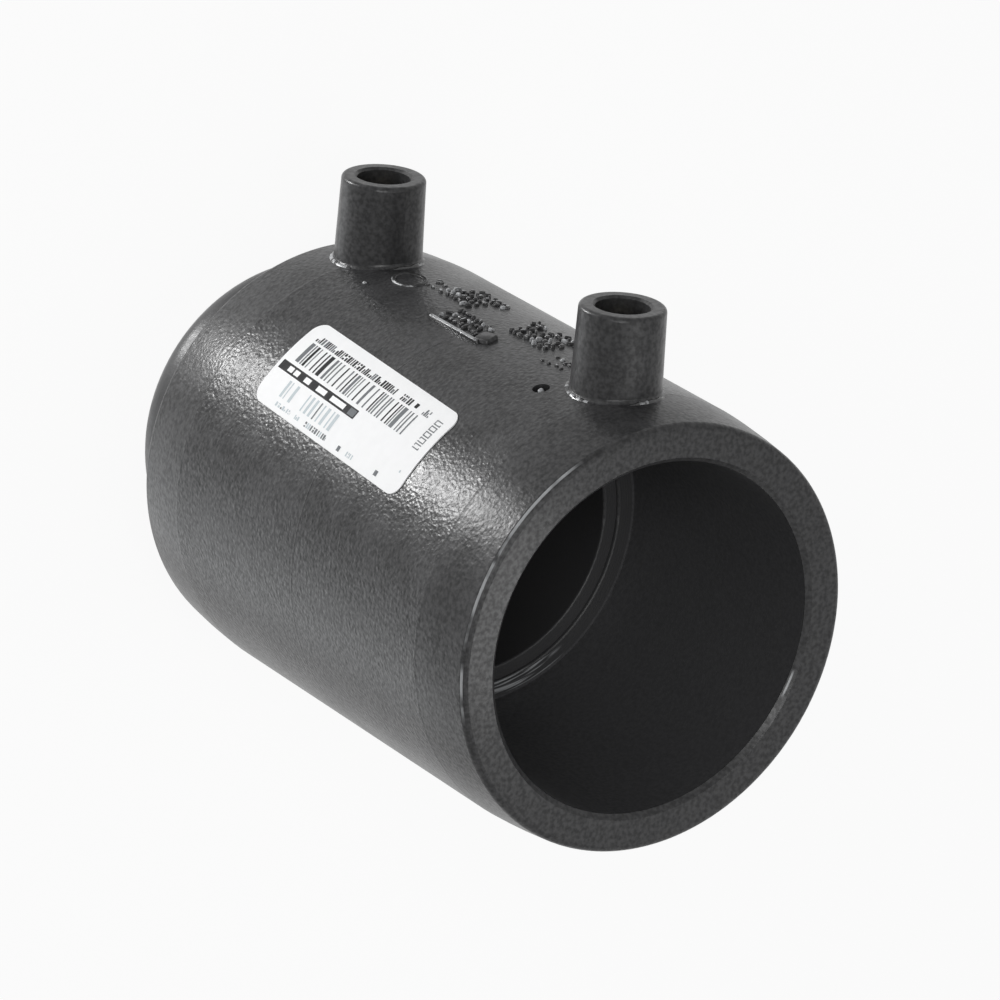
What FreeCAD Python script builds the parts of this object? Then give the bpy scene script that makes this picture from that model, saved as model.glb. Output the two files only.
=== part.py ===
"""Electrofusion end cap for 63 mm pipe: a moulded socket body with two terminal shrouds, a hollow
end plug welded into its closed half, a heating wire wound in the wall, two terminal pins and a label.

Frame: millimetres, +Z up. The cap stands on its closed end. The origin is the centre of the flat
end face, +Z runs along the bore and out of the open mouth, and both terminals point along +X.
"""
import FreeCAD, Part
import math
import os
import Sketcher
from FreeCAD import Placement, Vector

SIZES = {
    # socket body: a sleeve on the pipe's size, drawn in a little at both ends
    "pipe_radius": 31.5,
    "socket_clearance": 0.5,
    "wall": 8.0,
    "body_length": 106.0,
    "taper_length": 13.4,
    "taper_drop": 1.2,
    "end_rounding": 1.2,
    "mouth_chamfer": 0.9,
    # depth of the open socket, from the mouth to the plug's rim
    "socket_depth": 53.8,
    # end plug: a hollow spigot, held in the closed half where the melt has filled the bore
    "plug_protrusion": 16.5,
    "plug_wall": 5.5,
    "plug_end_thickness": 8.0,
    "plug_end_rounding": 5.5,
    "plug_inner_rounding": 4.0,
    "rim_land_width": 2.9,
    "rim_land_rise": 0.7,
    "rim_rounding": 0.4,
    # terminal shrouds: each at its distance from the nearer end of the sleeve
    "mouth_terminal_inset": 17.6,
    "closed_terminal_inset": 11.8,
    "shroud_rise": 14.8,
    "shroud_sink": 4.0,
    "shroud_radius": 7.6,
    "shroud_draft": 1.4,
    "shroud_rounding": 0.8,
    "shroud_fillet": 0.8,
    "shroud_bore_radius": 4.8,
    "shroud_bore_depth": 12.3,
    "shroud_chamfer": 0.45,
    # terminal pins
    "pin_radius": 2.0,
    "pin_recess": 3.2,
    "pin_chamfer": 0.4,
    "pin_foot_radius": 2.6,
    "pin_collar_radius": 3.4,
    "pin_collar_width": 1.5,
    "pin_collar_cover": 1.0,
    # heating wire: a close winding at each end and a quick crossing between
    "wire_width": 1.2,
    "wire_cover": 1.0,
    "zone_turns": 5,
    "zone_pitch": 4.6,
    "crossing_turns": 2,
    # fusion indicators: a moulded pin in a well, on the label's side of the terminals
    "mouth_indicator_inset": 25.0,
    "closed_indicator_inset": 22.4,
    "indicator_angle": 15.0,
    "well_radius": 1.55,
    "well_depth": 3.0,
    "well_pin_radius": 0.65,
    "well_pin_recess": 0.8,
    "well_pin_crown": 0.25,
    # label: a sticker that lies on the body, its middle at an angle from the terminals, put on a
    # little askew with its mouth end away from them
    "label_inset": 30.4,
    "label_length": 49.2,
    "label_width": 18.2,
    "label_angle": 45.5,
    "label_tilt": 2.8,
    "label_thickness": 0.2,
    "label_corner": 2.6,
}
WIRE_STEPS = 16  # straight steps in one turn of the heating wire

# Places and radii that several features share, as expressions over the sheet
BORE = "(sizes.pipe_radius + sizes.socket_clearance)"
BODY = f"({BORE} + sizes.wall)"
SLEEVE_END = f"({BODY} - sizes.taper_drop)"
CLOSED_FACE = "sizes.plug_protrusion"
MOUTH = "(sizes.plug_protrusion + sizes.body_length)"
LOWER_TAPER = f"({CLOSED_FACE} + sizes.taper_length)"
UPPER_TAPER = f"({MOUTH} - sizes.taper_length)"
PLUG_TOP = f"({MOUTH} - sizes.socket_depth)"
RIM = f"({PLUG_TOP} - sizes.rim_land_rise)"
PLUG_BORE = "(sizes.pipe_radius - sizes.plug_wall)"
MOUTH_TERMINAL = f"({MOUTH} - sizes.mouth_terminal_inset)"
CLOSED_TERMINAL = f"({CLOSED_FACE} + sizes.closed_terminal_inset)"
MOUTH_INDICATOR = f"({MOUTH} - sizes.mouth_indicator_inset)"
CLOSED_INDICATOR = f"({CLOSED_FACE} + sizes.closed_indicator_inset)"
SHROUD_ROOT = f"({BODY} - sizes.shroud_sink)"
SHROUD_TOP = f"({BODY} + sizes.shroud_rise)"
SHROUD_FLOOR = f"({SHROUD_TOP} - sizes.shroud_bore_depth)"
PIN_TIP = f"({SHROUD_TOP} - sizes.pin_recess)"
PIN_COLLAR_TOP = f"({BODY} - sizes.pin_collar_cover)"
PIN_COLLAR_BASE = f"({PIN_COLLAR_TOP} - sizes.pin_collar_width)"
WIRE_INNER = f"({BORE} + sizes.wire_cover)"
WIRE_OUTER = f"({WIRE_INNER} + sizes.wire_width)"
LABEL_MIDDLE = f"({MOUTH} - sizes.label_inset - sizes.label_length / 2)"
LABEL_FACE = f"({BODY} + sizes.label_thickness)"
ON_AXIS = "0"

doc = FreeCAD.newDocument("electrofusion_end_cap")
sheet = doc.addObject("Spreadsheet::Sheet", "sizes")
for row, (alias, number) in enumerate(SIZES.items(), start=1):
    sheet.set(f"A{row}", alias)
    sheet.set(f"B{row}", str(number))
    sheet.setAlias(f"B{row}", alias)
doc.recompute()


def value(expression):
    """The present value of an expression over the sheet."""
    return float(sheet.evalExpression(expression))


def new_body(name):
    body = doc.addObject("PartDesign::Body", name)
    body.Label = name
    return body


def side(start, end, arc_height):
    """The sketch line from start to end, or the arc between them whose centre has that height.

    The arc runs anticlockwise, as the outlines here do.
    """
    if arc_height is None:
        return Part.LineSegment(start, end)
    rise = (start.y - arc_height) ** 2 - (end.y - arc_height) ** 2
    centre = Vector((start.x ** 2 - end.x ** 2 + rise) / (2 * (start.x - end.x)), arc_height, 0)
    spokes = (start - centre, end - centre)
    circle = Part.Circle(centre, Vector(0, 0, 1), spokes[0].Length)
    return Part.ArcOfCircle(circle, *(math.atan2(spoke.y, spoke.x) for spoke in spokes))


def outline(body, name, corners, role="XZ_Plane", height=ON_AXIS):
    """A closed outline on one of the body's planes, through corners that are tied to the sheet.

    A corner is (across, up), or (across, up, centre's height) where an arc leads to the next one.
    height moves the sketch's own axes up the plane, so that a turned shape can lie across the body.
    """
    sketch = body.newObject("Sketcher::SketchObject", name)
    plane = next(item for item in body.Origin.OriginFeatures if item.Role == role)
    sketch.AttachmentSupport = (plane, [""])
    sketch.MapMode = "FlatFace"
    if height != ON_AXIS:
        sketch.setExpression("AttachmentOffset.Base.y", height)

    def tie(kind, element, point, expression):
        link = sketch.addConstraint(
            Sketcher.Constraint(kind, -1, 1, element, point, value(expression)))
        sketch.setExpression(f"Constraints[{link}]", expression)

    count = len(corners)
    points = [Vector(value(corner[0]), value(corner[1]), 0) for corner in corners]
    arcs = {number: corner[2] for number, corner in enumerate(corners) if len(corner) == 3}
    for number in range(count):
        arc_height = value(arcs[number]) if number in arcs else None
        sketch.addGeometry(side(points[number], points[(number + 1) % count], arc_height), False)
    for number in range(count):
        sketch.addConstraint(Sketcher.Constraint("Coincident", number, 2, (number + 1) % count, 1))
    for number, corner in enumerate(corners):
        for kind, axis, expression in (("DistanceX", -2, corner[0]), ("DistanceY", -1, corner[1])):
            if expression == ON_AXIS:
                sketch.addConstraint(Sketcher.Constraint("PointOnObject", number, 1, axis))
            else:
                tie(kind, number, 1, expression)
    for number, arc_height in arcs.items():
        tie("DistanceY", number, 3, arc_height)
    return sketch


def turned(body, name, corners, axis="V_Axis", kind="PartDesign::Revolution", **place):
    """A Revolution, or a Groove, of an outline about one axis of its own sketch."""
    sketch = outline(body, f"{name}_outline", corners, **place)
    feature = body.newObject(kind, name)
    feature.Profile = sketch
    feature.ReferenceAxis = (sketch, [axis])
    feature.Angle = 360
    doc.recompute()
    return feature


def round_edges(body, name, belongs, radius):
    """A Fillet on every edge of the body's present shape that belongs() picks."""
    base = body.Tip
    edges = [f"Edge{number}" for number, edge in enumerate(base.Shape.Edges, start=1) if belongs(edge)]
    if not edges:
        raise RuntimeError(f"{name} found no edge")
    fillet = body.newObject("PartDesign::Fillet", name)
    fillet.Base = (base, edges)
    fillet.setExpression("Radius", radius)
    doc.recompute()
    return fillet


def circle_at(radius, height):
    """Picks the whole circles of that radius about the bore's axis at that height."""
    def belongs(edge):
        curve = edge.Curve
        return (isinstance(curve, Part.Circle) and abs(curve.Radius - value(radius)) < 1e-3
                and math.hypot(curve.Center.x, curve.Center.y) < 1e-3
                and abs(curve.Center.z - value(height)) < 1e-3)
    return belongs


def shroud_rim(edge):
    """Picks the outer edge of each shroud's flat top."""
    curve = edge.Curve
    return (isinstance(curve, Part.Circle) and abs(curve.Center.x - value(SHROUD_TOP)) < 1e-3
            and abs(curve.Radius - value("sizes.shroud_radius")) < 1e-3)


def shroud_joins(shape):
    """Picks the edges where a shroud's cone runs into the outside of the sleeve."""
    def is_cone_across(face):
        return isinstance(face.Surface, Part.Cone) and abs(face.Surface.Axis.x) > 0.9

    def is_sleeve_outside(face):
        across = face.CenterOfMass
        return not is_cone_across(face) and math.hypot(across.x, across.y) < value(BODY)

    def belongs(edge):
        faces = shape.ancestorsOfType(edge, Part.Face)
        return (len(faces) == 2 and any(is_cone_across(face) for face in faces)
                and any(is_sleeve_outside(face) for face in faces))
    return belongs


def moulding():
    """The sleeve with its shrouds, before the pieces moulded into its wall are taken out of it."""
    body = new_body("moulding")
    # Each taper is a shallow arc that meets the sleeve at a faint crease: its centre lies half a
    # taper short of it. The outline lies a quarter turn from the terminals, so that no seam runs
    # under a shroud.
    turned(body, "sleeve", [
        ("sizes.pipe_radius + sizes.mouth_chamfer", CLOSED_FACE),
        (SLEEVE_END, CLOSED_FACE, f"{LOWER_TAPER} + sizes.taper_length / 2"),
        (BODY, LOWER_TAPER),
        (BODY, UPPER_TAPER, f"{UPPER_TAPER} - sizes.taper_length / 2"),
        (SLEEVE_END, MOUTH),
        (f"{BORE} + sizes.mouth_chamfer", MOUTH),
        (BORE, f"{MOUTH} - sizes.mouth_chamfer"),
        (BORE, PLUG_TOP),
        ("sizes.pipe_radius", PLUG_TOP),
        ("sizes.pipe_radius", f"{CLOSED_FACE} + sizes.mouth_chamfer"),
    ], role="YZ_Plane")
    round_edges(body, "closed_edge", circle_at(SLEEVE_END, CLOSED_FACE), "sizes.end_rounding")
    round_edges(body, "mouth_edge", circle_at(SLEEVE_END, MOUTH), "sizes.end_rounding")
    root_radius = ("sizes.shroud_radius + (sizes.shroud_rise + sizes.shroud_sink)"
                   " * tan(sizes.shroud_draft * 1 deg)")
    for place, height in (("mouth", MOUTH_TERMINAL), ("closed", CLOSED_TERMINAL)):
        turned(body, f"{place}_shroud", [
            (SHROUD_ROOT, ON_AXIS),
            (SHROUD_TOP, ON_AXIS),
            (SHROUD_TOP, "sizes.shroud_radius"),
            (SHROUD_ROOT, root_radius),
        ], axis="H_Axis", height=height)
    round_edges(body, "shroud_fillets", shroud_joins(body.Tip.Shape), "sizes.shroud_fillet")
    round_edges(body, "shroud_rims", shroud_rim, "sizes.shroud_rounding")
    for place, height in (("mouth", MOUTH_TERMINAL), ("closed", CLOSED_TERMINAL)):
        turned(body, f"{place}_shroud_bore", [
            (SHROUD_FLOOR, ON_AXIS),
            (SHROUD_TOP, ON_AXIS),
            (SHROUD_TOP, "sizes.shroud_bore_radius + sizes.shroud_chamfer"),
            (f"{SHROUD_TOP} - sizes.shroud_chamfer", "sizes.shroud_bore_radius"),
            (SHROUD_FLOOR, "sizes.shroud_bore_radius"),
        ], axis="H_Axis", height=height, kind="PartDesign::Groove")
    return body


def end_plug():
    body = new_body("end_plug")
    land = "(sizes.pipe_radius - sizes.rim_land_width)"
    turned(body, "spigot", [
        (ON_AXIS, ON_AXIS),
        ("sizes.pipe_radius", ON_AXIS),
        ("sizes.pipe_radius", PLUG_TOP),
        (land, PLUG_TOP),
        (land, RIM),
        (PLUG_BORE, RIM),
        (PLUG_BORE, "sizes.plug_end_thickness"),
        (ON_AXIS, "sizes.plug_end_thickness"),
    ])
    round_edges(body, "end_edge", circle_at("sizes.pipe_radius", ON_AXIS), "sizes.plug_end_rounding")
    round_edges(body, "inner_corner", circle_at(PLUG_BORE, "sizes.plug_end_thickness"),
                "sizes.plug_inner_rounding")
    round_edges(body, "rim_edge", circle_at(PLUG_BORE, RIM), "sizes.rim_rounding")
    round_edges(body, "land_edge", circle_at(land, PLUG_TOP), "sizes.rim_rounding")
    return body


def wire_height(turn):
    """Height of the wire's middle after so many turns, from the mouth terminal to the closed one."""
    zone = value("sizes.zone_turns")
    crossing = value("sizes.crossing_turns")
    top = value(MOUTH_TERMINAL)
    bottom = value(CLOSED_TERMINAL)
    drop = value("sizes.zone_pitch")
    if turn <= zone:
        return top - drop * turn
    if turn >= zone + crossing:
        return bottom + drop * (2 * zone + crossing - turn)
    share = (turn - zone) / crossing
    return (1 - share) * (top - drop * zone) + share * (bottom + drop * zone)


def heating_coil():
    """One square wire in flat steps, as a ruled loft along both zones and the crossing.

    The first and the last step lie flat under the foot of a terminal pin.
    """
    to_corner = 1 / math.cos(math.pi / WIRE_STEPS)
    inner, outer = value(WIRE_INNER) * to_corner, value(WIRE_OUTER) * to_corner
    half = value("sizes.wire_width") / 2
    turns = 2 * value("sizes.zone_turns") + value("sizes.crossing_turns")
    sections = []
    for step in range(round(turns * WIRE_STEPS) + 2):
        turn = (step - 0.5) / WIRE_STEPS
        middle = wire_height(turn)
        angle = 2 * math.pi * turn
        corners = [(inner, middle - half), (outer, middle - half), (outer, middle + half),
                   (inner, middle + half)]
        points = [Vector(radius * math.cos(angle), radius * math.sin(angle), height)
                  for radius, height in corners]
        sections.append(Part.makePolygon(points + points[:1]))
    coil = doc.addObject("Part::Feature", "heating_coil")
    coil.Label = "heating_coil"
    coil.Shape = Part.makeLoft(sections, True, True)
    coil.Placement = Placement()
    return coil


def terminal_pin(name, height):
    """A turned contact pin: a foot on the wire, a collar that holds it in the wall, a free shank."""
    body = new_body(name)
    turned(body, f"{name}_turning", [
        (WIRE_OUTER, ON_AXIS),
        (PIN_TIP, ON_AXIS),
        (PIN_TIP, "sizes.pin_radius - sizes.pin_chamfer"),
        (f"{PIN_TIP} - sizes.pin_chamfer", "sizes.pin_radius"),
        (SHROUD_FLOOR, "sizes.pin_radius"),
        (SHROUD_FLOOR, "sizes.pin_foot_radius"),
        (PIN_COLLAR_TOP, "sizes.pin_foot_radius"),
        (PIN_COLLAR_TOP, "sizes.pin_collar_radius"),
        (PIN_COLLAR_BASE, "sizes.pin_collar_radius"),
        (PIN_COLLAR_BASE, "sizes.pin_foot_radius"),
        (WIRE_OUTER, "sizes.pin_foot_radius"),
    ], axis="H_Axis")
    body.setExpression("Placement.Base.z", height)
    return body


def indicator_well(name, height):
    """The space of one fusion indicator: a round well with the moulded pin left standing in it."""
    body = new_body(name)
    floor = f"({BODY} - sizes.well_depth)"
    crown = f"({BODY} - sizes.well_pin_recess)"
    above = f"({BODY} + sizes.well_depth)"
    turned(body, f"{name}_ring", [
        (crown, ON_AXIS),
        (above, ON_AXIS),
        (above, "sizes.well_radius"),
        (floor, "sizes.well_radius"),
        (floor, "sizes.well_pin_radius"),
        (f"{crown} - sizes.well_pin_crown", "sizes.well_pin_radius"),
        (crown, "sizes.well_pin_radius - sizes.well_pin_crown"),
    ], axis="H_Axis")
    body.setExpression("Placement.Rotation.Angle", "sizes.indicator_angle * 1 deg")
    body.setExpression("Placement.Base.z", height)
    return body


def socket_body(parts_in_wall):
    """The moulding with the exact space of each piece in its wall taken out, one cut after another."""
    shape = moulding()
    for number, piece in enumerate(parts_in_wall, start=1):
        cut = doc.addObject("Part::Cut", f"wall_cut_{number}")
        cut.Base = shape
        cut.Tool = piece
        shape = cut
    shape.Label = "socket_body"
    return shape


def label():
    """The sticker: a ring of film on the sleeve, cut square to its middle as a rounded rectangle."""
    ring = new_body("label_ring")
    reach = "(sizes.label_length / 2 + sizes.label_width)"
    turned(ring, "film", [
        (BODY, f"{LABEL_MIDDLE} - {reach}"),
        (LABEL_FACE, f"{LABEL_MIDDLE} - {reach}"),
        (LABEL_FACE, f"{LABEL_MIDDLE} + {reach}"),
        (BODY, f"{LABEL_MIDDLE} + {reach}"),
    ])
    cutter = new_body("label_cutter")
    across, along = "sizes.label_width / 2", "sizes.label_length / 2"
    sketch = outline(cutter, "label_shape", [
        (f"-{across}", f"-{along}"),
        (across, f"-{along}"),
        (across, along),
        (f"-{across}", along),
    ], role="YZ_Plane")
    sketch.setExpression("AttachmentOffset.Rotation.Angle", "-sizes.label_tilt * 1 deg")
    block = cutter.newObject("PartDesign::Pad", "label_block")
    block.Profile = sketch
    block.setExpression("Length", f"{BODY} + {LABEL_FACE}")
    doc.recompute()
    round_edges(cutter, "corners", lambda edge: edge.BoundBox.XLength > 1, "sizes.label_corner")
    cutter.setExpression("Placement.Rotation.Angle", "sizes.label_angle * 1 deg")
    cutter.setExpression("Placement.Base.z", LABEL_MIDDLE)
    sticker = doc.addObject("Part::Common", "label")
    sticker.Base = ring
    sticker.Tool = cutter
    return sticker


def write_steps(pieces):
    """Checks every object of the document and every piece, then writes one file for each piece."""
    doc.recompute()
    for item in doc.Objects:
        if "Invalid" in item.State or "Error" in item.State:
            raise RuntimeError(f"{item.Name} is {item.State}")
    for piece in pieces:
        if piece.Shape.isNull() or not piece.Shape.isValid() or len(piece.Shape.Solids) != 1:
            raise RuntimeError(f"{piece.Label} has no sound solid")
    os.makedirs("parts", exist_ok=True)
    for piece in pieces:
        piece.Shape.exportStep(os.path.join("parts", f"{piece.Label}.step"))


coil = heating_coil()
pins = [terminal_pin("mouth_terminal_pin", MOUTH_TERMINAL),
        terminal_pin("closed_terminal_pin", CLOSED_TERMINAL)]
wells = [indicator_well("mouth_well", MOUTH_INDICATOR),
         indicator_well("closed_well", CLOSED_INDICATOR)]
write_steps([socket_body([coil] + pins + wells), end_plug(), coil] + pins + [label()])
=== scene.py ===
"""Looks of the electrofusion end cap: its finishes, moulded marks, label print, light and camera.

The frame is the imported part: metres, +Z out of the open mouth, both terminals along +X and the
label on the +Y side. Around the sleeve, angles run from +X towards +Y.
"""

import math
import random

import bmesh
import bpy
from mathutils import Matrix, Vector

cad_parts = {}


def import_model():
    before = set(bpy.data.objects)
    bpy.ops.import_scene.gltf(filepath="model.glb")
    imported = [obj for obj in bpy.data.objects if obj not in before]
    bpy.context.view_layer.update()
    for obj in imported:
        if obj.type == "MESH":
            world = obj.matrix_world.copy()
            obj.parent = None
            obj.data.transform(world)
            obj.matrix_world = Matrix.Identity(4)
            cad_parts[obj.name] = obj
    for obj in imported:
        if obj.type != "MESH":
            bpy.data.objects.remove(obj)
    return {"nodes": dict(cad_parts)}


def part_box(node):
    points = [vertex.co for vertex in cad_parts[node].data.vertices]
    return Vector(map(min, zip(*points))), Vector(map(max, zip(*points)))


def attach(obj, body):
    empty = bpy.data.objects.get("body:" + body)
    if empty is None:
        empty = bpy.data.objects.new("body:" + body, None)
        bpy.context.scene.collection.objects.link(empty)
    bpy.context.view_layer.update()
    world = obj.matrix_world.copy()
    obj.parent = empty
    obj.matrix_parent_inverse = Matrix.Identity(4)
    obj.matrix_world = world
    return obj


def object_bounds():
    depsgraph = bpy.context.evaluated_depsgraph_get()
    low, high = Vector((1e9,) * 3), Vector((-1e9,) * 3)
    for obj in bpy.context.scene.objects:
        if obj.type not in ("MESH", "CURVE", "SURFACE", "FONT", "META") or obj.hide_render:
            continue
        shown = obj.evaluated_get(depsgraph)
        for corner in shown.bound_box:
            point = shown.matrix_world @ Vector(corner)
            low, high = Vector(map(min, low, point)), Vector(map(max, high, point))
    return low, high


MM = 0.001

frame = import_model()
cad_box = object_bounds()
body_low, body_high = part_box("socket_body")
SLEEVE_RADIUS = body_high.y
CLOSED_FACE, MOUTH = body_low.z, body_high.z
MIDDLE = Vector((0, 0, (cad_box[0][2] + cad_box[1][2]) / 2))
TAPER = 13.4 * MM  # from each end face of the sleeve to its crease
TAPER_DROP = 1.2 * MM  # what the radius loses on that way
PARTING = MOUTH - 53.5 * MM  # height of the mould's parting ring
BORE_LIMIT = 33 * MM  # radius within which the bore's wall and the mouth's inner edge lie
TERMINAL_DEPTHS = (17.6, 94.2)  # of the shrouds' axes behind the mouth, in millimetres
LABEL_TILT = math.radians(2.8)
ROOT = 0.06 * MM  # how far below the sleeve's surface a raised form begins


# ---------------------------------------------------------------- node materials


class Nodes:
    """The node tree of a new material or world, with short calls that add and link nodes."""

    def __init__(self, name, group="materials", shader="Principled BSDF"):
        self.owner = getattr(bpy.data, group).new(name)
        self.owner.use_nodes = True
        self.tree = self.owner.node_tree
        self.shader = self.tree.nodes[shader]

    def add(self, kind, inputs=None, **settings):
        """Adds a node. An input's value is a number or the socket that drives it."""
        node = self.tree.nodes.new(kind)
        for key, value in settings.items():
            setattr(node, key, value)
        for key, value in (inputs or {}).items():
            self.feed(node.inputs[key], value)
        return node

    def feed(self, socket, value):
        """Drives a socket by another one, or sets it to a value."""
        if isinstance(value, bpy.types.NodeSocket):
            self.tree.links.new(value, socket)
        else:
            socket.default_value = value

    def place(self):
        """Position on the part, in metres."""
        return self.add("ShaderNodeTexCoord").outputs["Object"]

    def radius(self, place):
        """Distance from the bore's axis."""
        flat = self.add("ShaderNodeVectorMath", {0: place, 1: (1, 1, 0)}, operation="MULTIPLY")
        length = self.add("ShaderNodeVectorMath", {0: flat.outputs[0]}, operation="LENGTH")
        return length.outputs["Value"]

    def toward(self, place, degrees):
        """How closely the way out from the axis points to an angle: 1 is straight at it."""
        turn = math.radians(degrees)
        way = {0: place, 1: (math.cos(turn), math.sin(turn), 0)}
        along = self.add("ShaderNodeVectorMath", way, operation="DOT_PRODUCT").outputs["Value"]
        return self.maths("DIVIDE", along, self.radius(place))

    def maths(self, operation, *values):
        return self.add("ShaderNodeMath", dict(enumerate(values)), operation=operation).outputs[0]

    def span(self, value, low, high, out_low=0.0, out_high=1.0):
        """Goes smoothly from out_low, where the value is low or less, to out_high."""
        inputs = {"Value": value, "From Min": low, "From Max": high,
                  "To Min": out_low, "To Max": out_high}
        node = self.add("ShaderNodeMapRange", inputs, interpolation_type="SMOOTHSTEP")
        return node.outputs["Result"]

    def band(self, value, low, high, soft):
        """1 between low and high, and 0 outside, with soft edges."""
        rise = self.span(value, low - soft, low)
        fall = self.span(value, high, high + soft, 1.0, 0.0)
        return self.maths("MULTIPLY", rise, fall)

    def noise(self, vector, size, detail=2.0):
        """Noise whose features are about size metres wide."""
        inputs = {"Vector": vector, "Scale": 1 / size, "Detail": detail}
        return self.add("ShaderNodeTexNoise", inputs).outputs["Fac"]

    def shown(self, direct=1.0):
        """1 for rays that mirror or pass, direct for the camera's own, and 0 for those that light."""
        rays = self.add("ShaderNodeLightPath").outputs
        mirrored = self.maths("MAXIMUM", rays["Is Glossy Ray"], rays["Is Transmission Ray"])
        return self.maths("MAXIMUM", self.maths("MULTIPLY", rays["Is Camera Ray"], direct), mirrored)

    def blend(self, factor, first, second):
        """A colour between two, each a linear RGB colour or a socket."""
        node = self.add("ShaderNodeMix", data_type="RGBA")
        self.feed(node.inputs["Factor"], factor)
        for index, colour in ((6, first), (7, second)):
            self.feed(node.inputs[index], (*colour, 1) if isinstance(colour, tuple) else colour)
        return node.outputs[2]

    def bump(self, height, depth, normal=None):
        """Bumps whose height of 1 stands for depth metres."""
        inputs = {"Height": height, "Distance": depth, "Strength": 1.0}
        if normal is not None:
            inputs["Normal"] = normal
        return self.add("ShaderNodeBump", inputs).outputs["Normal"]

    def set(self, **inputs):
        """Sets the shader's inputs, named with _ for a space."""
        for key, value in inputs.items():
            self.feed(self.shader.inputs[key.replace("_", " ")], value)


PAINTED_HIGHLIGHT = (0.4, 0.41, 0.42)  # pale colour for painted highlights and glints on polyethylene


def moulded_pe():
    """Black polyethylene: coarse spark-eroded grain on the sleeve, finer on collars and shrouds,
    a bore painted paler as painted light in its shade, and painted highlights on the mouth's edges in
    places."""
    n = Nodes("moulded_pe")
    place = n.place()
    height = n.add("ShaderNodeSeparateXYZ", {"Vector": place}).outputs["Z"]
    radius = n.radius(place)
    outside = n.band(radius, SLEEVE_RADIUS - 1.5 * MM, SLEEVE_RADIUS + 0.2 * MM, 0.2 * MM)

    # The grain is fullest between the creases, less on the collars and least off the sleeve.
    middle = n.band(height, CLOSED_FACE + TAPER, MOUTH - TAPER, 0.6 * MM)
    share = n.maths("MULTIPLY_ADD", outside, n.maths("MULTIPLY_ADD", middle, 0.4, 0.45), 0.15)
    pits = n.add("ShaderNodeTexVoronoi", {"Vector": place, "Scale": 1 / (0.8 * MM)}, feature="F1")
    waves = n.maths("MULTIPLY", n.noise(place, 0.7 * MM, detail=1.0), 1.6)
    grain = n.maths("MULTIPLY_ADD", pits.outputs["Distance"], 0.5, waves)
    normal = n.bump(n.maths("MULTIPLY", grain, share), 0.06 * MM)
    lines = n.maths("MULTIPLY", mould_lines(n, place, height), outside)
    normal = n.bump(lines, 0.06 * MM, normal)

    # The tone drifts in wide clouds on the sleeve and speckles all over; the bore is painted paler as
    # painted light in its shade.
    haze = n.noise(place, 9 * MM, detail=3.0)
    speckle = n.noise(place, 0.8 * MM, detail=1.0)
    cloud = n.maths("MULTIPLY", n.maths("SUBTRACT", haze, 0.5), outside)
    tone = n.maths("MULTIPLY_ADD", cloud, 0.45, n.maths("MULTIPLY_ADD", speckle, 0.26, 0.37))
    # Painted light: the bore's wall is painted paler to lift its shade
    painted_bore_light = n.maths("MULTIPLY", n.span(radius, BORE_LIMIT, BORE_LIMIT + 1 * MM, 0.65, 0.0),
                      n.span(height, MOUTH - 1.1 * MM, MOUTH - 0.9 * MM, 1.0, 0.0))
    tone = n.maths("ADD", painted_bore_light, n.span(tone, 0.35, 0.65, 0.0, 0.4))
    colour = n.blend(tone, (0.022, 0.022, 0.0225), (0.086, 0.086, 0.089))
    # The mouth's edges are painted pale in places: painted highlights, not wear
    edge_highlight = painted_edge_highlights(n, place, height, radius, outside)
    n.set(Base_Color=n.blend(edge_highlight, colour, PAINTED_HIGHLIGHT), Roughness=n.span(haze, 0.3, 0.7, 0.3, 0.35),
          Specular_IOR_Level=n.span(speckle, 0.3, 0.7, 0.18, 0.32), Normal=normal)
    return n.owner


def mould_lines(n, place, height):
    """The raised lines left by the mould's joints: a ring, and a faint one along the mouth's end."""
    ring = n.band(height, PARTING - 0.12 * MM, PARTING + 0.12 * MM, 0.1 * MM)
    axes = n.add("ShaderNodeSeparateXYZ", {"Vector": place}).outputs
    angle = n.maths("ARCTAN2", axes["Y"], axes["X"])
    witness = n.band(angle, math.radians(31.8), math.radians(32.1), math.radians(0.4))
    near_mouth = n.span(height, MOUTH - 31 * MM, MOUTH - 30 * MM, 0.0, 0.3)
    return n.maths("MAXIMUM", ring, n.maths("MULTIPLY", witness, near_mouth))


def painted_edge_highlights(n, place, height, radius, outside):
    """Painted highlights on the mouth: pale patches of its outer edge near the label's side, and a
    short pale glint on its inner edge across from there."""
    outer = n.maths("MULTIPLY", outside,
                    n.band(height, MOUTH - 0.75 * MM, MOUTH - 0.45 * MM, 0.12 * MM))
    outer = n.maths("MULTIPLY", outer, n.span(n.toward(place, 66), 0.77, 0.85))
    outer = n.maths("MULTIPLY", outer, n.span(n.noise(place, 5 * MM), 0.35, 0.55))
    inner = n.maths("MULTIPLY", n.maths("LESS_THAN", radius, BORE_LIMIT),
                    n.band(height, MOUTH - 0.65 * MM, MOUTH - 0.5 * MM, 0.1 * MM))
    inner = n.maths("MULTIPLY", inner, n.span(n.toward(place, 247), 0.996, 0.9995))
    return n.maths("MAXIMUM", outer, inner)


def polished_pe():
    """Black polyethylene where steel pins and joints of the mould left it smooth."""
    n = Nodes("polished_pe")
    place = n.place()
    n.set(Base_Color=n.blend(n.noise(place, 0.8 * MM), (0.026, 0.026, 0.027), (0.04, 0.04, 0.042)),
          Roughness=n.span(n.noise(place, 0.6 * MM), 0.3, 0.7, 0.14, 0.24),
          Normal=n.bump(n.noise(place, 0.9 * MM), 0.03 * MM))
    return n.owner


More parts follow.
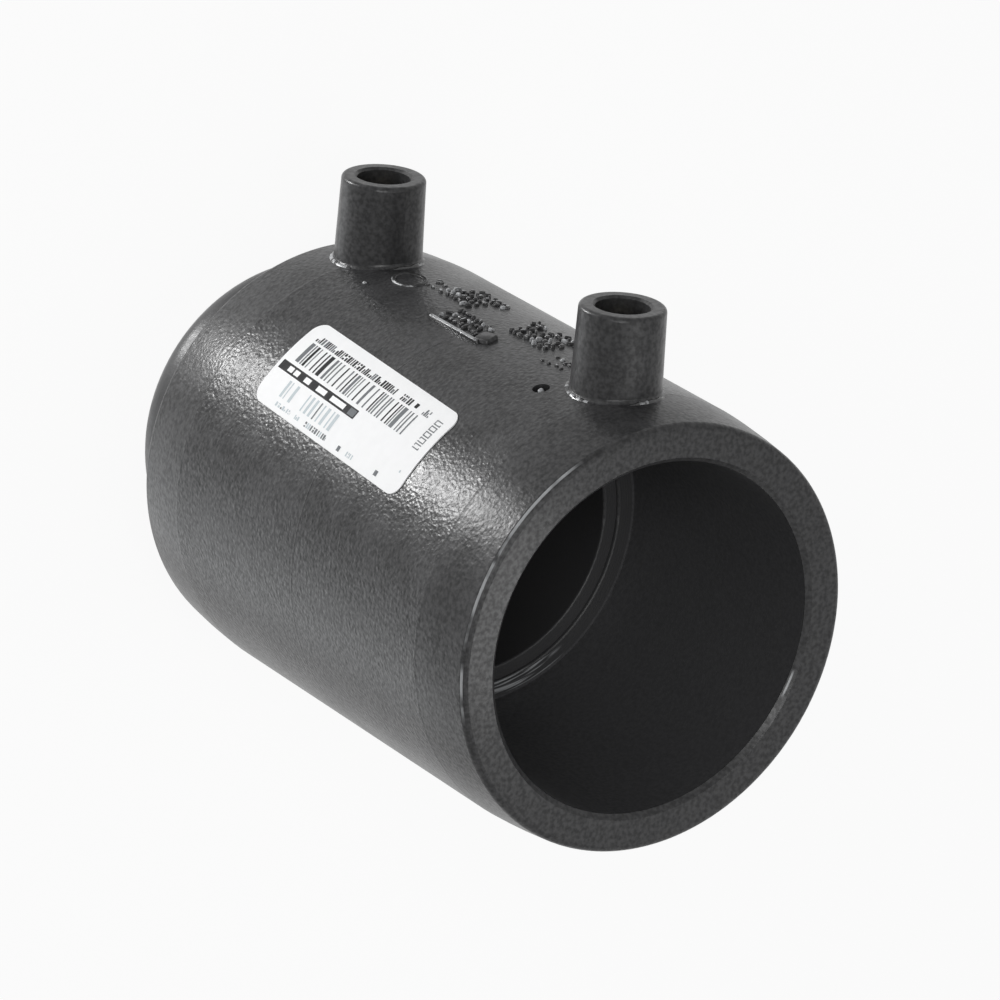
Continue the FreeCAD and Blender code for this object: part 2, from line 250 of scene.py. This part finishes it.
def plug_pe():
    """Black polyethylene of the plug, painted a little paler as painted light in its shade: a moulded
    satin with faint turning rings, and a few pale streaks along its rim as painted highlights."""
    n = Nodes("plug_pe")
    place = n.place()
    radius = n.radius(place)
    rings = n.maths("SINE", n.maths("MULTIPLY", radius, 2 * math.pi / (0.5 * MM)))
    normal = n.bump(rings, 0.006 * MM)
    normal = n.bump(n.noise(place, 0.5 * MM), 0.03 * MM, normal)
    haze = n.noise(place, 12 * MM, detail=3.0)
    # Paler than the sleeve: painted light that lifts the plug's shade deep in the bore
    colour = n.blend(haze, (0.048, 0.048, 0.049), (0.058, 0.058, 0.06))

    # Noise of the radius and a little of the angle runs in streaks round the axis.
    along = n.maths("MULTIPLY", n.toward(place, 113), 1.2 * MM)
    polar = n.add("ShaderNodeCombineXYZ", {0: radius, 1: along}).outputs[0]
    # The pale streaks on the rim land are painted highlights, kept to the side where they show
    highlight_streaks = n.span(n.noise(polar, 0.4 * MM, detail=1.0), 0.46, 0.64)
    highlight_streaks = n.maths("MULTIPLY", highlight_streaks, n.band(radius, 28.9 * MM, 31.2 * MM, 0.3 * MM))
    highlight_streaks = n.maths("MULTIPLY", highlight_streaks, n.span(n.toward(place, 201), 0.945, 0.985))
    n.set(Base_Color=n.blend(highlight_streaks, colour, PAINTED_HIGHLIGHT),
          Roughness=n.span(n.noise(place, 2 * MM), 0.3, 0.7, 0.31, 0.4),
          Specular_IOR_Level=0.26, Normal=normal)
    return n.owner


def painted_glint_pe():
    """Black polyethylene painted pale on raised tops, beads and tips: painted highlights where they
    catch the light.
    """
    n = Nodes("painted_glint_pe")
    place = n.place()
    n.set(Base_Color=n.blend(n.span(n.noise(place, 0.5 * MM), 0.3, 0.55), (0.1, 0.1, 0.102), PAINTED_HIGHLIGHT),
          Roughness=n.span(n.noise(place, 0.8 * MM), 0.3, 0.7, 0.3, 0.4),
          Normal=n.bump(n.noise(place, 0.4 * MM), 0.03 * MM))
    return n.owner


def metal(name, dark, bright, rough_low, rough_high, groove):
    """A drawn or turned metal with fine marks, groove metres wide, and a little tarnish."""
    n = Nodes(name)
    place = n.place()
    stretched = n.add("ShaderNodeVectorMath", {0: place, 1: (8.0, 1.0, 1.0)}, operation="MULTIPLY")
    marks = n.noise(stretched.outputs[0], groove)
    tarnish = n.noise(place, 1.6 * MM, detail=3.0)
    n.set(Base_Color=n.blend(n.span(tarnish, 0.35, 0.65), dark, bright), Metallic=1.0,
          Roughness=n.span(marks, 0.3, 0.7, rough_low, rough_high),
          Normal=n.bump(marks, 0.006 * MM))
    return n.owner


def label_film():
    """White sticker film: almost even, with a faint mottle and a satin face."""
    n = Nodes("label_film")
    place = n.place()
    mottle = n.span(n.noise(place, 2.5 * MM, detail=4.0), 0.3, 0.7)
    n.set(Base_Color=n.blend(mottle, (0.88, 0.885, 0.89), (0.91, 0.915, 0.92)),
          Roughness=n.span(mottle, 0.0, 1.0, 0.6, 0.7), Specular_IOR_Level=0.1,
          Normal=n.bump(n.noise(place, 0.9 * MM), 0.006 * MM))
    return n.owner


def ink(name, dark, pale):
    """Printed ink, a little uneven as a small thermal printer leaves it."""
    n = Nodes(name)
    place = n.place()
    n.set(Base_Color=n.blend(n.noise(place, 0.35 * MM), dark, pale),
          Roughness=n.span(n.noise(place, 1.2 * MM), 0.3, 0.7, 0.55, 0.65), Specular_IOR_Level=0.1)
    return n.owner


POLISHED = polished_pe()
# Pale material for painted highlights on the small raised forms
PAINTED_GLINT_PE = painted_glint_pe()
BRASS = metal("terminal_brass", (0.56, 0.46, 0.27), (0.74, 0.63, 0.4), 0.2, 0.35, 0.3 * MM)
MATERIALS = {
    "socket_body": moulded_pe(),
    "end_plug": plug_pe(),
    "heating_coil": metal("heating_wire", (0.62, 0.33, 0.2), (0.8, 0.47, 0.3), 0.25, 0.4, 0.2 * MM),
    "mouth_terminal_pin": BRASS,
    "closed_terminal_pin": BRASS,
    "label": label_film(),
}
for node_name, material in MATERIALS.items():
    for slot in frame["nodes"][node_name].material_slots:
        slot.material = material


# ---------------------------------------------------------------- shapes laid on the sleeve


def on_sleeve(depth, around, lift):
    """A point at depth behind the mouth and around the sleeve from +X, both in millimetres."""
    from_end = min(depth * MM, MOUTH - CLOSED_FACE - depth * MM)
    down = max(0.0, 1 - from_end / TAPER)
    radius = SLEEVE_RADIUS + lift - TAPER_DROP * (down + down ** 2) / 2
    turn = around * MM / SLEEVE_RADIUS
    return Vector((radius * math.cos(turn), radius * math.sin(turn), MOUTH - depth * MM))


def make_object(name, mesh, materials):
    """Turns a bmesh into an object of the scene, with its materials in order."""
    data = bpy.data.meshes.new(name)
    mesh.to_mesh(data)
    mesh.free()
    for material in materials:
        data.materials.append(material)
    made = bpy.data.objects.new(name, data)
    bpy.context.scene.collection.objects.link(made)
    return made


def make_moulded(name, mesh, materials):
    """Makes a piece of the body's own polyethylene, smooth all over, that rides on the part."""
    bmesh.ops.recalc_face_normals(mesh, faces=mesh.faces)
    for face in mesh.faces:
        face.smooth = True
    piece = make_object(name, mesh, materials)
    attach(piece, "root")


def raised_patch(mesh, outline, top, shrink, tone=0, cap=None):
    """A small raised form on the sleeve, top metres high, its outline drawn in by shrink there.

    The outline holds (depth, around) points in millimetres, in order round the form. Tone is the
    place of its material among the piece's, and cap that of its top where it differs.
    """
    count = len(outline)
    centre = [sum(point[k] for point in outline) / count for k in (0, 1)]
    rings = []
    for lift, share in ((-ROOT, 1.0), (top * 0.55, 1.0 - shrink * 0.2),
                        (top * 0.88, 1.0 - shrink * 0.6), (top, 1.0 - shrink)):
        points = [[c + (p - c) * share for p, c in zip(point, centre)] for point in outline]
        rings.append([mesh.verts.new(on_sleeve(*point, lift)) for point in points])
    for lower, upper in zip(rings, rings[1:]):
        for i in range(count):
            after = (i + 1) % count
            face = mesh.faces.new((lower[i], lower[after], upper[after], upper[i]))
            face.material_index = tone
    mesh.faces.new(rings[-1]).material_index = tone if cap is None else cap


def bar(centre, size, turn=0.0, corner=0.3, steps=3):
    """The outline of a bar with rounded corners. Centre and size are (depth, around) in mm."""
    half = (size[0] / 2, size[1] / 2)
    corner = min(corner, *half)
    points = []
    for quarter, (sx, sy) in enumerate(((1, 1), (-1, 1), (-1, -1), (1, -1))):
        for step in range(steps + 1):
            a = math.pi / 2 * (quarter + step / steps)
            points.append((sx * (half[0] - corner) + corner * math.cos(a),
                           sy * (half[1] - corner) + corner * math.sin(a)))
    c, s = math.cos(turn), math.sin(turn)
    return [(centre[0] + x * c - y * s, centre[1] + x * s + y * c) for x, y in points]


def raised_arc(mesh, centre, radii, width, top, start, end, ragged=None, tones=(0,)):
    """A raised bead along an oval arc, from one turn to another in degrees: 0 is towards the closed
    end and 90 away from the terminals. Centre, radii and width are in millimetres. A chance given
    as ragged makes its height uneven and picks the material of each bit from the tones."""
    closed = end - start == 360
    count = round((end - start) / 6)
    rows = []
    for i in range(count if closed else count + 1):
        turn = math.radians(start + (end - start) * i / count)
        height = top * (ragged.uniform(0.35, 1.0) if ragged else 1.0)
        if not closed:
            height *= math.sin(math.pi * (i + 0.3) / (count + 0.6)) ** 0.4
        row = []
        for share, inset in ((0, 0.0), (0.8, 0.22), (1, 0.5), (0.8, 0.78), (0, 1.0)):
            depth = centre[0] + (radii[0] - inset * width) * math.cos(turn)
            around = centre[1] + (radii[1] - inset * width) * math.sin(turn)
            row.append(mesh.verts.new(on_sleeve(depth, around, height * share - ROOT)))
        rows.append(row)
    pairs = list(zip(rows, rows[1:]))
    if closed:
        pairs.append((rows[-1], rows[0]))
    for row, after in pairs:
        tone = ragged.choice(tones) if ragged else tones[0]
        for k in range(4):
            face = mesh.faces.new((row[k], row[k + 1], after[k + 1], after[k]))
            face.material_index = tone


def moulded_marks():
    """The raised marks between the terminals: a ring, generic groups of small rounded strokes, a
    bar and a block beside them, and the lid over the closed end's indicator well."""
    mesh = bmesh.new()
    chance = random.Random(5)

    def group(start, end, low, high, top, columns, rows=3):
        """Strokes in columns and rows, from a start to an end depth and from a low to a high place
        around the sleeve."""
        pitch = (start - end) / columns
        spacing = (high - low) / rows
        for column in range(columns):
            for row in range(rows):
                centre = (start - pitch * (column + 0.5 + chance.uniform(-0.2, 0.2)),
                          low + spacing * (row + 0.5 + chance.uniform(-0.2, 0.2)))
                size = (chance.uniform(0.8, 1.7), chance.uniform(0.5, 0.7))
                turn = chance.choice((0.0, 0.5, 0.5)) * math.pi + chance.uniform(-0.5, 0.5)
                height = top * chance.uniform(0.7, 1.0)
                # Material 2 paints some strokes pale: painted highlights on their tops and sides
                tone, cap = chance.choice(((0, 0), (0, 0), (0, 2), (1, 1), (1, 2), (2, 2)))
                raised_patch(mesh, bar(centre, size, turn), height, 0.4, tone, cap)

    ring = (80.0, 2.2)
    raised_arc(mesh, ring, (3.7, 3.2), 0.8, 0.4 * MM, 0, 360)
    # A pale arc along the ring's lower side: a painted highlight
    raised_arc(mesh, ring, (3.75, 3.25), 0.5, 0.45 * MM, 30, 162, chance, (2,))
    group(78.4, 74.1, -3.5, 1.8, 0.3 * MM, 3, 2)
    group(71.3, 60.6, -7.5, -4.1, 0.55 * MM, 7, 2)
    group(72.7, 62.7, -3.7, 1.5, 0.6 * MM, 7)
    group(62.7, 50.2, 2.6, 7.7, 0.65 * MM, 9)
    group(52.4, 48.4, -7.1, -4.6, 0.75 * MM, 3, 2)
    group(50.2, 38.1, -3.7, 1.5, 0.75 * MM, 8)
    group(46.3, 37.7, -8.2, -4.6, 0.6 * MM, 6, 2)
    group(34.9, 28.8, 0.2, 5.0, 0.35 * MM, 4, 2)
    # The bar's top carries the pale material: a painted highlight
    raised_patch(mesh, bar((55.6, 8.6), (15.7, 0.7)), 0.6 * MM, 0.04, 1, 2)
    raised_patch(mesh, bar((48.2, 6.7), (3.4, 3.4), 0.3, 0.6), 0.8 * MM, 0.15)
    lid = bar((83.7, 10.5), (3.5, 3.5), corner=1.75, steps=8)
    raised_patch(mesh, lid, 0.04 * MM, 0.1)
    make_moulded("moulded_marks", mesh, [MATERIALS["socket_body"], POLISHED, PAINTED_GLINT_PE])


def moulded_gloss():
    """The small smooth forms that catch the light: the uneven bead round each shroud's foot, with
    some pale dashes as painted highlights, and the rounded tips of the two indicators, painted pale
    as painted glints."""
    mesh = bmesh.new()
    chance = random.Random(3)
    foot = (8.8, 8.85)
    for depth in TERMINAL_DEPTHS:
        for start, end in ((40, 112), (162, 222)):
            # Tone 1 paints some bits of the bead pale: painted highlights
            raised_arc(mesh, (depth, 0.0), foot, 1.0, 0.6 * MM, start, end, chance, (0, 0, 1))
    for depth, around, sink, width in ((25.0, 10.6, 0.62, 1.2), (83.9, 9.3, 0.1, 0.9)):
        place = on_sleeve(depth, around, -sink * MM)
        seat = Matrix.Translation(place) @ Matrix.Diagonal((width / 2 * MM,) * 3 + (1,))
        ball = bmesh.ops.create_uvsphere(mesh, u_segments=16, v_segments=10, radius=1.0,
                                         matrix=seat)
        # The tips take the pale material: painted glints
        for face in {face for vertex in ball["verts"] for face in vertex.link_faces}:
            face.material_index = 1
    make_moulded("moulded_gloss", mesh, [POLISHED, PAINTED_GLINT_PE])


# ---------------------------------------------------------------- print on the label


def label_print():
    """Fields of ink a hair above the film, as (along, across) millimetres from the label's middle:
    along towards the mouth and across away from the terminals, turned with the label."""
    points = [v.co for v in frame["nodes"]["label"].data.vertices]
    depths = [(MOUTH - p.z) / MM for p in points]
    arounds = [math.atan2(p.y, p.x) * SLEEVE_RADIUS / MM for p in points]
    middle = ((max(depths) + min(depths)) / 2, (max(arounds) + min(arounds)) / 2)
    lift = max(p.xy.length for p in points) - SLEEVE_RADIUS + 0.02 * MM
    cosine, sine = math.cos(LABEL_TILT), math.sin(LABEL_TILT)
    mesh = bmesh.new()
    chance = random.Random(11)
    black, grey, pale, white = range(4)

    def corner(along, across, extra):
        return on_sleeve(middle[0] - along * cosine + across * sine,
                         middle[1] + across * cosine + along * sine, lift + extra)

    def field(start, end, low, high, tone, extra=0.0):
        """A field of ink from start to end along the label, between two lines across it."""
        steps = max(1, round((high - low) / 0.7))
        rows = []
        for i in range(steps + 1):
            across = low + (high - low) * (i / steps)
            rows.append([mesh.verts.new(corner(along, across, extra)) for along in (start, end)])
        for (a, b), (c, d) in zip(rows, rows[1:]):
            mesh.faces.new((a, b, d, c)).material_index = tone

    def fine_print(start, end, low, high, tones):
        """A row of tiny blocks of mixed widths and heights, like small print seen from afar."""
        along = start
        height = high - low
        while along < end:
            width = min(chance.uniform(0.28, 0.6), end - along)
            cut = chance.choice((0.0, 0.0, 0.35, 0.55))
            tone = chance.choice(tones)
            if cut and chance.random() < 0.5:
                field(along, along + width, low, low + height * cut * 0.8, tone)
                field(along, along + width, low + height * cut * 1.3, high, tone)
            else:
                field(along, along + width, low + height * cut, high, tone)
            along += width + chance.uniform(0.12, 0.4)

    # the line of small print nearest to the terminals
    fine_print(-21.3, 6.3, -6.7, -5.3, (black, black, grey))
    fine_print(8.5, 12.0, -6.7, -5.3, (black, black, grey))
    field(13.0, 13.9, -6.6, -5.6, black)
    fine_print(16.0, 18.0, -6.7, -5.3, (grey,))

    # the row of upright bars
    along = -21.2
    while along < 15.6:
        width = chance.choice((0.3, 0.4, 0.4, 0.7, 1.1))
        field(along, along + width, -4.8, -0.3, chance.choice((black, grey, grey)))
        along += width + chance.choice((0.35, 0.5, 0.8, 1.2))

    # the black strip with small print in its gaps
    field(-23.7, 2.7, 0.45, 2.3, black)
    field(0.3, 2.4, 0.7, 2.05, grey, extra=0.01 * MM)
    for start, end in ((-21.0, -19.4), (-18.9, -17.3), (-15.3, -13.3), (-10.9, -7.8), (-6.0, -1.2)):
        field(start, end, 0.85, 1.9, white, extra=0.01 * MM)
        fine_print(start + 0.3, end - 0.2, 1.0, 1.7, (black, grey))

    # the second row of bars, mostly faded
    for start, width in ((-18.2, 0.7), (-17.0, 0.3), (-15.4, 0.8), (-11.0, 0.4), (-9.8, 0.7),
                         (-8.4, 0.7), (-5.7, 0.4), (-4.4, 0.8), (-2.6, 0.4), (-1.6, 0.9)):
        field(start, start + width, 3.0, 6.4, pale)
    field(-6.9, -6.5, 3.0, 6.4, grey)

    # the line of small print along the far edge, and single signs
    fine_print(-17.7, -12.6, 7.3, 8.1, (grey, pale))
    fine_print(-11.0, -9.6, 7.3, 8.1, (pale,))
    fine_print(-7.5, -0.2, 7.2, 8.2, (grey, pale, pale))
    field(3.9, 4.8, 7.3, 8.3, grey)
    fine_print(6.9, 9.4, 7.3, 8.2, (pale,))
    field(16.3, 17.3, 7.0, 8.0, grey)
    field(21.9, 22.3, 4.6, 5.1, pale)

    # the column of small frames at the mouth's end
    for i in range(5):
        low = -6.2 + 1.35 * i
        field(20.5, 22.4, low, low + 0.22, grey)
        field(20.5, 22.4, low + 0.85, low + 1.07, grey)
        field(20.5, 20.75, low, low + chance.choice((0.5, 1.07)), grey)
        field(22.15, 22.4, low + chance.choice((0.0, 0.6)), low + 1.07, grey)

    inks = [ink("ink_black", (0.012, 0.012, 0.013), (0.03, 0.03, 0.032)),
            ink("ink_grey", (0.13, 0.14, 0.15), (0.2, 0.21, 0.22)),
            ink("ink_pale", (0.46, 0.52, 0.55), (0.6, 0.65, 0.68)),
            ink("ink_gap", (0.88, 0.885, 0.89), (0.94, 0.945, 0.95))]
    bmesh.ops.recalc_face_normals(mesh, faces=mesh.faces)
    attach(make_object("label_print", mesh, inks), "root")


moulded_marks()
moulded_gloss()
label_print()


# ---------------------------------------------------------------- stage, light and camera


def floor():
    """A wide pale floor under the closed end. Seen directly it is mostly plain white, and it keeps
    a part of the object's shadow."""
    n = Nodes("floor_white")
    roughness = n.span(n.noise(n.place(), 50 * MM), 0.3, 0.7, 0.6, 0.8)
    n.set(Base_Color=(0.94, 0.94, 0.94, 1), Roughness=roughness)
    glow = n.add("ShaderNodeEmission", {"Color": (1, 1, 1, 1), "Strength": 1.0}).outputs[0]
    mix = {0: n.shown(0.93), 1: n.shader.outputs[0], 2: glow}
    surface = n.add("ShaderNodeMixShader", mix).outputs[0]
    n.feed(n.tree.nodes["Material Output"].inputs["Surface"], surface)

    mesh = bmesh.new()
    bmesh.ops.create_circle(mesh, cap_ends=True, cap_tris=True, segments=96, radius=6.0)
    sheet = make_object("floor", mesh, [n.owner])
    sheet.location.z = cad_box[0][2] - 0.05 * MM  # a hair below the face that the cap stands on
    return sheet


def world(lighting):
    """White where it is seen or mirrored, and the lighting strength where it only lights."""
    n = Nodes("studio", "worlds", "Background")
    bpy.context.scene.world = n.owner
    strength = n.maths("MULTIPLY_ADD", n.shown(), 1.0 - lighting, lighting)
    n.set(Color=(1, 1, 1, 1), Strength=strength)


def softbox(name, place, size, level, colour=(1, 1, 1), shines_through=None):
    """A soft area lamp at a place, facing the middle of the part.

    Level is how bright it alone would render a white sheet facing it there. A floor that it
    shines through doesn't hold its light back, like the top of a light table.
    """
    lamp = bpy.data.lights.new(name, "AREA")
    lamp.shape = "RECTANGLE"
    lamp.size, lamp.size_y = size
    lamp.color = colour
    ray = MIDDLE - Vector(place)
    lamp.energy = level * math.pi ** 2 * ray.length_squared
    holder = bpy.data.objects.new(name, lamp)
    holder.location = place
    holder.rotation_euler = ray.to_track_quat("-Z", "Y").to_euler()
    holder.visible_camera = False
    bpy.context.scene.collection.objects.link(holder)
    if shines_through:
        blockers = bpy.data.collections.new(f"{name}_blockers")
        blockers.objects.link(shines_through)
        blockers.collection_objects[0].light_linking.link_state = "EXCLUDE"
        holder.light_linking.blocker_collection = blockers


def camera():
    """The photograph's view, as fitted to its outline and circles: a long lens, rolled so that the
    terminals point up."""
    lens = bpy.data.cameras.new("camera")
    lens.sensor_width = 36
    lens.lens = 251.2534
    lens.clip_end = 20
    forward = Vector((-0.337457, -0.533465, -0.775589)).normalized()
    right = Vector((0.074997, -0.836536, 0.542754)).normalized()
    view = bpy.data.objects.new("camera", lens)
    view.matrix_world = Matrix((right, right.cross(forward), -forward)).transposed().to_4x4()
    view.location = Vector((422.092, 653.932, 1023.519)) * MM
    bpy.context.scene.collection.objects.link(view)
    bpy.context.scene.camera = view


ground = floor()
world(0.1)
softbox("key_left", (0.34, 0.37, -0.50), (0.05, 0.16), 0.64, shines_through=ground)
softbox("key_edge", (0.34, 0.37, -0.27), (0.05, 0.1), 0.12, shines_through=ground)
softbox("fill_low", (-0.34, 0.37, -0.56), (0.5, 0.5), 0.12, colour=(0.95, 0.98, 1.0),
        shines_through=ground)
softbox("front", (0.34, 0.53, 0.85), (0.4, 0.4), 0.32)
softbox("top", (0.0, 0.0, 1.1), (0.5, 0.5), 0.15)
softbox("face_sheen", (-0.041, -0.046, 0.239), (0.03, 0.03), 0.09)
camera()
bpy.context.scene.view_settings.view_transform = "Standard"
